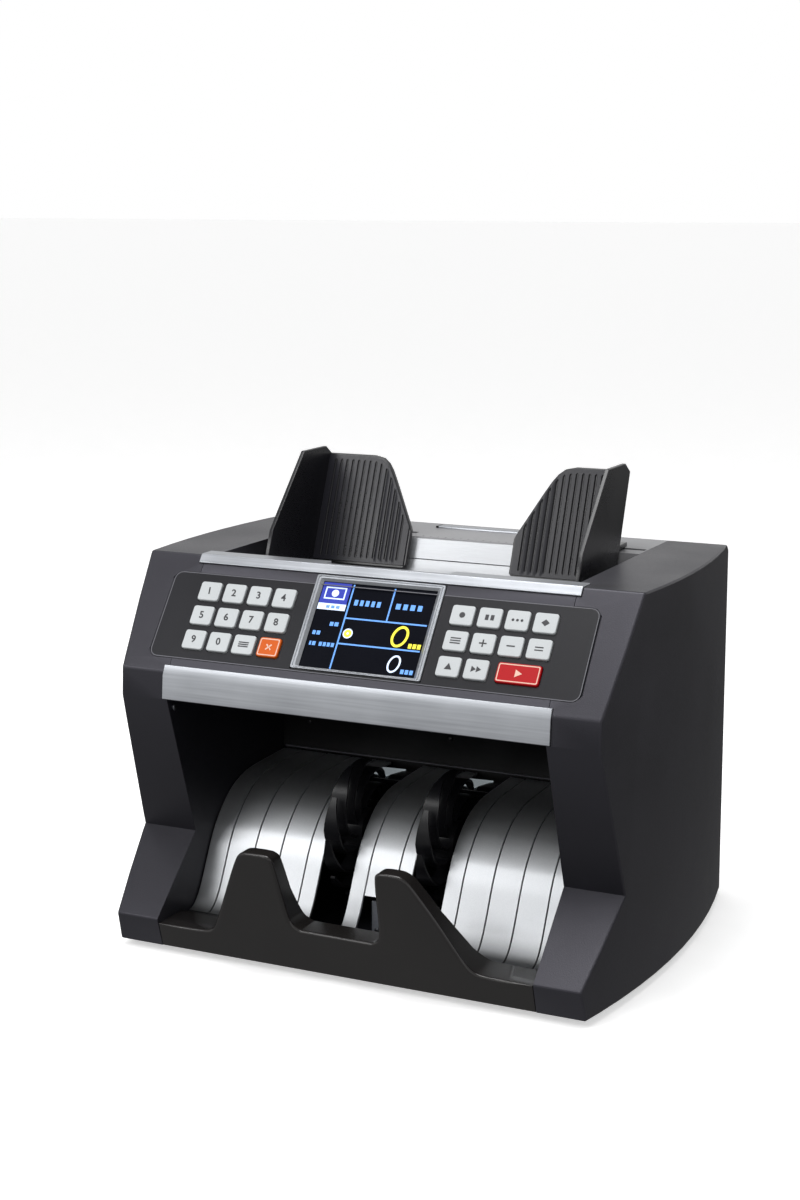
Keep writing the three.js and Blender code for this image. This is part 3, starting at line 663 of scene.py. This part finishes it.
for i, legend in enumerate(LEFT_LEGENDS):
    place = key_place(KEY_LEFT_X, i)
    clear = legend is CLEAR_SYMBOL
    key(f"key_left_{i + 1}", f"btn_left_{i + 1}", *place, KEY_W, "orange" if clear else "key",
        "key_orange" if clear else "key_grey", legend, "pale_ink" if clear else "legend", clear)
for i, legend in enumerate(SYMBOLS):
    place = key_place(KEY_RIGHT_X, i)
    key(f"key_right_{i + 1}", f"btn_right_{i + 1}", *place, KEY_W, "key", "key_grey", legend)
key("key_start", "btn_start", START_X, KEY_FIRST_S + 2 * KEY_PITCH_S, START_W, "red", "key_red",
    START_SYMBOL, "pale_ink", True)

# ---------------------------------------------------------------- display
BEZEL_HALF, BEZEL_TOP_S, BEZEL_BOTTOM_S = 39.6, 6.2, 64.3
LIT_HALF, LIT_TOP_S, LIT_BOTTOM_S = 35.1, 9.7, 62.3
# the display frame's section: (share of the way inwards, height)
BEZEL_SECTION = [(0, -0.6), (0, 0.6), (0.06, 0.9), (0.24, 0.9), (0.29, 0.55), (0.36, 0.55), (0.42, 0.85),
                 (0.6, 0.8), (1, -0.45), (1, -0.6)]
bm = bmesh.new()
ring(bm, rounded(-BEZEL_HALF, BEZEL_HALF, -BEZEL_BOTTOM_S, -BEZEL_TOP_S, 1.2),
     rounded(-LIT_HALF, LIT_HALF, -LIT_BOTTOM_S, -LIT_TOP_S, 0.3), BEZEL_SECTION, PANEL)
piece("screen_bezel_frame", bm, "frame", ["bezel"], ["screen_bezel"], sharp=20.0)

GLASS = -0.9
GLASS_PLACE = PANEL @ Matrix.Translation((0, 0, GLASS))
LIT_HIGH, LIT_UPPER, ITALIC = 0.1, 0.16, 0.12  # print, print on print, lean of the digits
LIT_SECTION = flat_section(-LIT_HIGH, LIT_HIGH)
BLUE, PALE, YELLOW, DEEP = 1, 2, 3, 4
bm = cad_copy("screen_module")


def lit(x0, x1, s0, s1, ink):
    """A lit rectangle."""
    prism(bm, bar(x0, x1, -s1, -s0), -LIT_HIGH, LIT_HIGH, GLASS_PLACE, ink)


def lit_row(x, s, widths, height, ink, gap=0.7):
    """A row of small blocks that stands for a word on the display."""
    for width in widths:
        lit(x, x + width, s - height / 2, s + height / 2, ink)
        x += width + gap


def lit_zero(x, s, half_w, half_h, stroke, ink):
    """A slanted figure 0, as an oval frame."""
    def oval(grow):
        return [(x + (half_w + grow) * u + ITALIC * half_h * v, -s + (half_h + grow) * v)
                for u, v in circle(0, 0, 1, 28)]
    ring(bm, oval(0), oval(-stroke), LIT_SECTION, GLASS_PLACE, ink)


# dividing lines: x from, x to, s from, s to
for line in ((-16.4, -15.5, 10.2, 61.9), (9.0, 9.9, 10.5, 30.4), (-15.5, 34.0, 30.4, 31.3),
             (-15.5, 34.0, 46.0, 46.9)):
    lit(*line, BLUE)
# banknote on a deep blue block, over a pale strip
ICON_X0, ICON_X1, ICON_S0, ICON_S1, STRIP_S1 = -34.8, -17.5, 10.0, 22.9, 26.8
NOTE, NOTE_INNER, NOTE_DISC = bar(-32.6, -19.7, -20.2, -12.7), bar(-31.8, -20.5, -19.4, -13.5), 2.2
lit(ICON_X0, ICON_X1, ICON_S0, ICON_S1, DEEP)
ring(bm, NOTE, NOTE_INNER, flat_section(0.0, LIT_UPPER), GLASS_PLACE, PALE)
prism(bm, circle(-26.15, -16.45, NOTE_DISC), 0.0, LIT_UPPER, GLASS_PLACE, PALE)
lit(ICON_X0, ICON_X1, ICON_S1, STRIP_S1, PALE)
lit_row(-29.5, 24.9, (2.2, 2.2, 2.2), 1.8, BLUE, 0.9)
# the two headings, then the four small words on the left
lit_row(-13.0, 21.0, (2.2, 2.0, 2.2, 2.0, 2.2), 3.4, BLUE, 1.4)
lit_row(12.6, 21.0, (2.8, 2.6, 2.8, 2.6), 3.4, BLUE, 1.7)
SMALL = 2.4
lit_row(-24.0, 35.2, (2.2, 2.4), SMALL, BLUE)
lit_row(-33.0, 41.2, (1.9, 2.1), SMALL, BLUE)
lit_row(-33.0, 47.8, (1.1, 2.0), SMALL, BLUE)
lit_row(-27.0, 47.8, (1.8, 1.8, 1.8, 1.8), SMALL, BLUE)
# round signal beside the count
SIGNAL = (-11.5, -40.0)
prism(bm, circle(*SIGNAL, 3.0), -LIT_HIGH, LIT_HIGH, GLASS_PLACE, PALE)
ring(bm, circle(*SIGNAL, 2.3), circle(*SIGNAL, 0.7), flat_section(-LIT_HIGH, LIT_UPPER), GLASS_PLACE, YELLOW)
# the count and the batch, each with its unit
lit_zero(20.0, 38.8, 5.0, 6.5, 1.5, YELLOW)
lit_row(26.4, 43.8, (2.0, 2.0, 2.0), 2.8, YELLOW)
lit_zero(21.0, 55.2, 3.8, 5.3, 1.1, PALE)
lit_row(26.0, 59.2, (2.0, 2.0, 2.0), 2.6, BLUE)
piece("screen_display", bm, "frame", ["glass", "lit_blue", "lit_pale", "lit_yellow", "lit_deep"],
      ["screen_module"])

# ---------------------------------------------------------------- note guides
GUIDE_FOOT_Y, GUIDE_FOOT_Z = 153.0, 205.0
GUIDE_FACE = facing((0, GUIDE_FOOT_Y, GUIDE_FOOT_Z), (0, -1, GUIDE_LEAN))
# upper edge of the back: (x, z)
GUIDE_TOP = ((34.6, 228.5), (49, 254.5), (53, 261.2), (56, 265), (60, 268), (66.5, 269.4), (98, 269.4))
RIB_FACE_X, RIB_FACE_Z, RIB_FACE_SUNK, RIB_FACE_HIGH, RIM = (35.3, 97.2), 206.3, 0.4, 0.9, 0.9
SLOT_FIRST, SLOT_PITCH, SLOT_W, SLOTS, SLOT_BORDER = 40.1, 4.0, 1.7, 14, 3.2


def along_guide(z):
    """Way up the leaning back to a height."""
    return (z - GUIDE_FOOT_Z) * math.hypot(1, GUIDE_LEAN)


def guide_top(x):
    """Upper end of the ribbed face at x, a rim's width under the back's upper edge."""
    x = abs(x)
    for (x0, z0), (x1, z1) in zip(GUIDE_TOP, GUIDE_TOP[1:]):
        if x <= x1:
            return along_guide(z0 + (z1 - z0) * (x - x0) / (x1 - x0) - RIM)
    return along_guide(GUIDE_TOP[-1][1] - RIM)


for side, sign in SIDES:
    bm = cad_copy(f"note_guide_{side}")
    soften(bm, *GUIDE_ROUND)
    columns = [RIB_FACE_X[0]]
    for i in range(SLOTS):
        middle = SLOT_FIRST + i * SLOT_PITCH
        columns += [middle - SLOT_W / 2, middle, middle + SLOT_W / 2]
    columns.append(RIB_FACE_X[1])
    slotted(bm, [sign * x for x in columns], along_guide(RIB_FACE_Z), guide_top, SLOT_BORDER,
            -RIB_FACE_SUNK, RIB_FACE_HIGH, GUIDE_FACE, 1, 0)
    piece(f"note_guide_{side}_paddle", bm, f"guide_{side}", ["black", "ribbed"],
          [f"note_guide_{side}"])

# ---------------------------------------------------------------- stacker pocket
# front view of the plate with its two fins, counter-clockwise from the bottom right: (x, z)
PLATE_HALF, FEET = 114.6, 4.0
FIN_RIGHT = [(PLATE_HALF, FEET), (PLATE_HALF, 20.5), (86, 20.5), (80, 22.6), (75.3, 28), (62.7, 51.5),
             (52, 68.5), (49.2, 72.4), (46, 74.4), (42.5, 75), (34.5, 75), (31.2, 74), (29.4, 71), (27.6, 36),
             (25.6, 31.5), (21.5, 29.6)]
FIN_LEFT = [(-21.5, 30), (-26, 32.6), (-28.2, 38), (-31.2, 71), (-32.8, 74), (-36, 75), (-49, 75),
            (-52.6, 73.2), (-55.3, 69.2), (-61.5, 56.6), (-75.8, 25.5), (-79.5, 20.5), (-84, 18.8),
            (-PLATE_HALF, 18.5), (-PLATE_HALF, FEET)]
PLATE_TILT = -22 / (73.2 - FEET)  # the face leans forward by 22 from the bottom to the fins' tips
# side view of the plate's back, downwards: (z, y)
PLATE_BACK = [(74, -12), (71.5, -10.8), (52, -3.5), (30, 9.5), (20.5, 17.5), (15.5, 24.5), (12, 26)]
EDGE_ROUND, RIM_ROUND, ROUND_STEPS = 2.0, 0.5, 5
BEHIND = 60.0  # a depth that no other point of the plate has


def eased(points, steps=4):
    """Open line with every corner eased by a curve between the middles of its two sides."""
    line = [Vector(points[0])]
    for a, b, c in zip(points, points[1:], points[2:]):
        a, b, c = Vector(a), Vector(b), Vector(c)
        start, end = (a + b) / 2, (b + c) / 2
        line += [start.lerp(b, t / steps).lerp(b.lerp(end, t / steps), t / steps) for t in range(steps + 1)]
    line.append(Vector(points[-1]))
    return [p for p, q in zip(line, line[1:]) if (p - q).length > 0.01] + [line[-1]]


def plate_back(z):
    """Depth of the plate's back at a height."""
    for (z0, y0), (z1, y1) in zip(PLATE_BACK, PLATE_BACK[1:]):
        if z >= z1:
            return y0 + (y1 - y0) * (min(z, z0) - z0) / (z1 - z0)
    return PLATE_BACK[-1][1]


def front_plate(bm):
    """Outline of the fins with a rounded front edge, closed by a back that follows PLATE_BACK."""
    sides = [Vector(FIN_RIGHT[0]), Vector(FIN_RIGHT[1])]
    outline = sides + eased(FIN_RIGHT[1:])[1:] + eased(FIN_LEFT[:-1])[:-1]
    outline += [Vector(p) for p in FIN_LEFT[-2:]]
    count = len(outline)
    inward = []
    for i in range(count):
        d = (outline[(i + 1) % count] - outline[i - 1]).normalized()
        inward.append(Vector((-d.y, d.x)))
    rows = []
    for step in range(ROUND_STEPS + 2):
        turn = min(step, ROUND_STEPS) * math.pi / (2 * ROUND_STEPS)
        row = []
        for p, n in zip(outline, inward):
            r = RIM_ROUND if abs(p.x) > PLATE_HALF - 1 or p.y < FEET + 1 else EDGE_ROUND
            q = p + n * r * (1 - math.sin(turn))
            y = PLATE_TILT * (q.y - FEET) + r * (1 - math.cos(turn))
            row.append(bm.verts.new((q.x, y if step <= ROUND_STEPS else plate_back(q.y), q.y)))
        rows.append(row)
    for a, b in zip(rows, rows[1:]):
        for i in range(count):
            j = (i + 1) % count
            bm.faces.new((a[i], a[j], b[j], b[i]))
    bm.faces.new(rows[0])
    back = bm.faces.new(rows[-1][::-1])
    # the back is cut at its corners while it is flat, and folded afterwards
    for v in back.verts:
        v.co.y = BEHIND
    for z, _ in PLATE_BACK[1:]:
        everything = [*bm.verts, *bm.edges, *bm.faces]
        bmesh.ops.bisect_plane(bm, geom=everything, plane_co=(0, 0, z), plane_no=(0, 0, 1))
    for v in bm.verts:
        if v.co.y > BEHIND - 0.1:
            v.co.y = plate_back(v.co.z)


bm = bmesh.new()
front_plate(bm)
piece("stacker_front_plate_skin", bm, "frame", ["gloss"], ["stacker_front_plate"], sharp=40.0)

CHUTE_THICK = 1.5
CHUTE_GROOVES = (49.2, 66.9, 84.0, 101.4)
# section of a groove: (distance from its middle, depth)
GROOVE = [(-0.5, 0.0), (-0.4, 0.15), (-0.3, 0.8), (0.3, 0.8), (0.4, 0.15), (0.5, 0.0)]


def grooved(x0, x1, grooves):
    """Stations of a sheet from x0 to x1 with rounded side edges and a narrow groove at every place listed."""
    stations = [(x0, 0.5), (x0 + 0.2, 0.15), (x0 + 0.6, 0.0)]
    for g in sorted(grooves):
        stations += [(g + across, depth) for across, depth in GROOVE]
    return stations + [(x1 - 0.6, 0.0), (x1 - 0.2, 0.15), (x1, 0.5)]


# the chutes' groove floors are painted shade in dull black
line = smooth_line(CHUTE)
for side, sign in SIDES:
    bm = bmesh.new()
    lo, hi = box_mm(f"stacker_chute_{side}")
    swept(bm, line, grooved(lo.x, hi.x, [sign * g for g in CHUTE_GROOVES]), CHUTE_THICK, 0, 1)
    piece(f"stacker_chute_{side}_sheet", bm, "frame", ["plate", "dull"],
          [f"stacker_chute_{side}"])
# the centre chute reaches its foot on the left only, and ends higher up over the sensor bracket
CENTRE_HALF, CENTRE_CUT, CENTRE_GROOVE, CUT_FOOT = 18.3, (-9.2, -8.9), 9.5, Vector((46.1, 35.0))
bm = bmesh.new()
swept(bm, line, grooved(-CENTRE_HALF, CENTRE_CUT[0], []), CHUTE_THICK, 0, 1)
upper = [CUT_FOOT] + [p for p in line if p.y > CUT_FOOT.y + 0.6]
swept(bm, upper, grooved(CENTRE_CUT[1], CENTRE_HALF, [CENTRE_GROOVE]), CHUTE_THICK, 0, 1)
piece("stacker_chute_centre_sheet", bm, "frame", ["plate", "dull"], ["stacker_chute_centre"])

# three screws in the pocket's back wall, two in its ceiling, and a pale strip where the chutes end, a painted
# highlight on the ledge's edge
SMALL_SCREW = 1.6
BACK_SCREWS_X, BACK_SCREWS_AT = (-96, 0, 96), (146.2, 104)
CEILING_SCREWS_X, CEILING = (-84, 84), facing((0, 81, 131.25), (0, -9.5, -38))
PAINTED_EDGE_HIGHLIGHT, PAINTED_EDGE_HIGHLIGHT_Z = bar(-113, 113, 144.9, 146.3), (86.5, 87.3)
bm = cad_copy("pocket_liner")
for x in BACK_SCREWS_X:
    screw(bm, facing((x, *BACK_SCREWS_AT), (0, -1, 0)), SMALL_SCREW, 1, 0)
for x in CEILING_SCREWS_X:
    screw(bm, CEILING @ Matrix.Translation((x, 0, 0)), SMALL_SCREW, 1, 0)
prism(bm, PAINTED_EDGE_HIGHLIGHT, *PAINTED_EDGE_HIGHLIGHT_Z, mat=2)
piece("pocket_liner_skin", bm, "frame", ["dull", "black", "outline"], ["pocket_liner"])

# a dark bent sheet behind the chutes and over the tray's vents keeps the floor's glow out of the pocket, a
# sheet put in for shade: (y, z)
SHADOW_BAFFLE_HALF = 114.0
SHADOW_BAFFLE = [(148.8, 6.95), (192, 6.95), (192, 7.35), (149.6, 7.35), (149.6, 86), (148.8, 86)]
ALONG_X = Matrix(((0, 0, 1, 0), (1, 0, 0, 0), (0, 1, 0, 0), (0, 0, 0, 1)))
bm = bmesh.new()
prism(bm, SHADOW_BAFFLE, -SHADOW_BAFFLE_HALF, SHADOW_BAFFLE_HALF, ALONG_X)
piece("shadow_baffle", bm, "frame", ["dull"])

# clear window in the dark frame: centre, heights, and outline (x from the centre, y)
WINDOW_X, WINDOW_Z = 28.8, (84.0, 84.7)
WINDOW_SHAPE = [(-9.6, 119.8), (-0.6, 117.6), (4.6, 134.4), (-9.9, 133.0)]
for side, sign in SIDES:
    bm = cad_copy(f"sensor_window_{side}")
    soften(bm, *WINDOW_ROUND)
    prism(bm, [(WINDOW_X * sign + x, y) for x, y in WINDOW_SHAPE], *WINDOW_Z, mat=1)
    piece(f"sensor_window_{side}_prism", bm, "frame", ["smoke", "clear"],
          [f"sensor_window_{side}"])

for side, _ in SIDES:
    bm = cad_copy(f"stacker_wheel_{side}")
    piece(f"stacker_wheel_{side}_blades", bm, "stacker_rotor", ["wheel"],
          [f"stacker_wheel_{side}"])

BRACKET_SCREWS_X, BRACKET_SCREWS_AT = (-2.5, 11.5), (50, 14)
bm = cad_copy("sensor_bracket")
soften(bm, *PART_ROUND)
for x in BRACKET_SCREWS_X:
    screw(bm, facing((x, *BRACKET_SCREWS_AT), (0, -1, 0)), SMALL_SCREW, 1, 2)
piece("sensor_bracket_part", bm, "frame", ["zinc", "screw", "dull"], ["sensor_bracket"])

# ---------------------------------------------------------------- rear and underside
REAR = 240.0
REAR_SCREW, REAR_SCREWS_X, REAR_SCREWS_Z = 3.0, (-118, 0, 118), (12, 195)
LABEL, LABEL_INNER = rounded(-50, -6, 120, 150, 2), rounded(-49.2, -6.8, 120.8, 149.2, 1.4)
bm = cad_copy("rear_cover")
soften(bm, *REAR_ROUND)
for x in REAR_SCREWS_X:
    for z in REAR_SCREWS_Z:
        screw(bm, facing((x, REAR, z), (0, 1, 0)), REAR_SCREW, 1, 2)
# thin frame of an empty label, on a mirrored placement that keeps the drawing's x
on_rear = facing((0, REAR, 0), (0, 1, 0), (-1, 0, 0)) @ Matrix.Scale(-1, 4, (1, 0, 0))
ring(bm, LABEL, LABEL_INNER, flat_section(-0.3, 0.15), on_rear, 3)
piece("rear_cover_panel", bm, "frame", ["charcoal", "screw", "dull", "outline"],
      ["rear_cover"])

for name, slot, finish, body, width in (
        ("power_inlet", "black_plastic", "black", "frame", 0.4),
        ("rocker_switch", "switch_red", "switch", "power_rocker", 0.5)):
    bm = cad_copy(name)
    soften(bm, width)
    piece(f"{name}_part", bm, body, [finish], [name])

for corner in ("front_left", "front_right", "rear_left", "rear_right"):
    bm = cad_copy(f"foot_{corner}")
    soften(bm, *FOOT_ROUND)
    piece(f"foot_{corner}_pad", bm, "frame", ["rubber"], [f"foot_{corner}"])

# ---------------------------------------------------------------- finishes of the CAD pieces that stay
STAYING = {"stacker_shaft": "steel", "pickup_roller": "rubber", "feed_roller": "rubber",
           "base_tray": "charcoal", "main_motor": "steel", "control_board": "board"}
for name, finish in STAYING.items():
    mesh = NODES[name].data
    mesh.materials.clear()
    mesh.materials.append(MAT[finish])

# ---------------------------------------------------------------- floor, light, camera
FLOOR_HALF, FLOOR_GAP = 40.0, 0.0002
bm = bmesh.new()
lowest = cad_box[0].z
bm.faces.new([bm.verts.new((x, y, lowest - FLOOR_GAP))
              for x, y in bar(-FLOOR_HALF, FLOOR_HALF, -FLOOR_HALF, FLOOR_HALF)])
mesh = bpy.data.meshes.new("floor")
bm.to_mesh(mesh)
bm.free()
mesh.materials.append(material("floor_white", rgba(0xF4F4F4), rgba(0xFFFFFF), (0.6, 0.7), grain=60.0,
                               bump=0.0, Emission_Color=(1.0, 1.0, 1.0, 1.0), Emission_Strength=0.5))
floor = bpy.data.objects.new("floor", mesh)
floor.visible_diffuse = False
floor.visible_glossy = False
SCENE.collection.objects.link(floor)

# studio around the object: white above the horizon and dimmer overhead, darker below it, most of all behind
world = bpy.data.worlds.new("studio")
SCENE.world = world
world.use_nodes = True
tree = world.node_tree
direction = add(tree, "ShaderNodeTexCoord").outputs["Generated"]
axes = add(tree, "ShaderNodeSeparateXYZ", {"Vector": direction})


def graded(axis, start, end, low, high):
    """Smooth change from low to high while the direction's share along an axis goes from start to end."""
    return mapped(tree, axes.outputs[axis], (start, end), (low, high), smooth=True)


in_front = graded("Z", -0.65, -0.2, 0.33, 0.44)
behind = graded("Z", -0.5, -0.22, 0.34, 0.06)
below = graded("Y", -0.7, 0.4, in_front, behind)
zenith = graded("Z", 0.62, 0.85, 0.48, 0.3)
above = graded("Z", 0.18, 0.42, 1.0, zenith)
strength = graded("Z", -0.12, -0.015, below, above)
tree.links.new(strength, tree.nodes["Background"].inputs["Strength"])
tree.nodes["Background"].inputs["Color"].default_value = (1.0, 1.0, 1.0, 1.0)
SCENE.view_settings.view_transform = "Standard"


def softbox(name, location, target, size, power):
    """A rectangular light that faces its target."""
    light = bpy.data.lights.new(name, "AREA")
    light.shape = "RECTANGLE"
    light.size, light.size_y = size
    light.energy = power
    holder = bpy.data.objects.new(name, light)
    holder.location = location
    holder.rotation_euler = (Vector(target) - Vector(location)).to_track_quat("-Z", "Y").to_euler()
    SCENE.collection.objects.link(holder)


softbox("top_light", location=(-0.1, -0.2, 1.4), target=(-0.02, -0.15, 0), size=(0.9, 0.8), power=16)
softbox("key_light", location=(-0.62, -0.92, 0.9), target=(0, 0, 0.1), size=(0.55, 0.45), power=4.5)

# the photograph's viewpoint, solved from its straight edges: degrees, metres, millimetres of lens
CAMERA = {"azimuth": 25.227, "elevation": 9.14, "roll": 0.113, "at": (0.4856, -1.0608, 0.4253), "lens": 61.18,
          "shift": (-0.0029, -0.0588)}
az, el, roll = (math.radians(CAMERA[k]) for k in ("azimuth", "elevation", "roll"))
back = Vector((math.sin(az) * math.cos(el), -math.cos(az) * math.cos(el), math.sin(el)))
sideways = Vector((math.cos(az), math.sin(az), 0))
overhead = back.cross(sideways)
right = math.cos(roll) * sideways + math.sin(roll) * overhead
upward = math.cos(roll) * overhead - math.sin(roll) * sideways
camera_data = bpy.data.cameras.new("camera")
camera_data.lens = CAMERA["lens"]
camera_data.shift_x, camera_data.shift_y = CAMERA["shift"]
camera = bpy.data.objects.new("camera", camera_data)
camera.matrix_world = Matrix.Translation(CAMERA["at"]) @ Matrix((right, upward, back)).transposed().to_4x4()
SCENE.collection.objects.link(camera)
SCENE.camera = camera

# ---------------------------------------------------------------- end
bpy.context.view_layer.update()
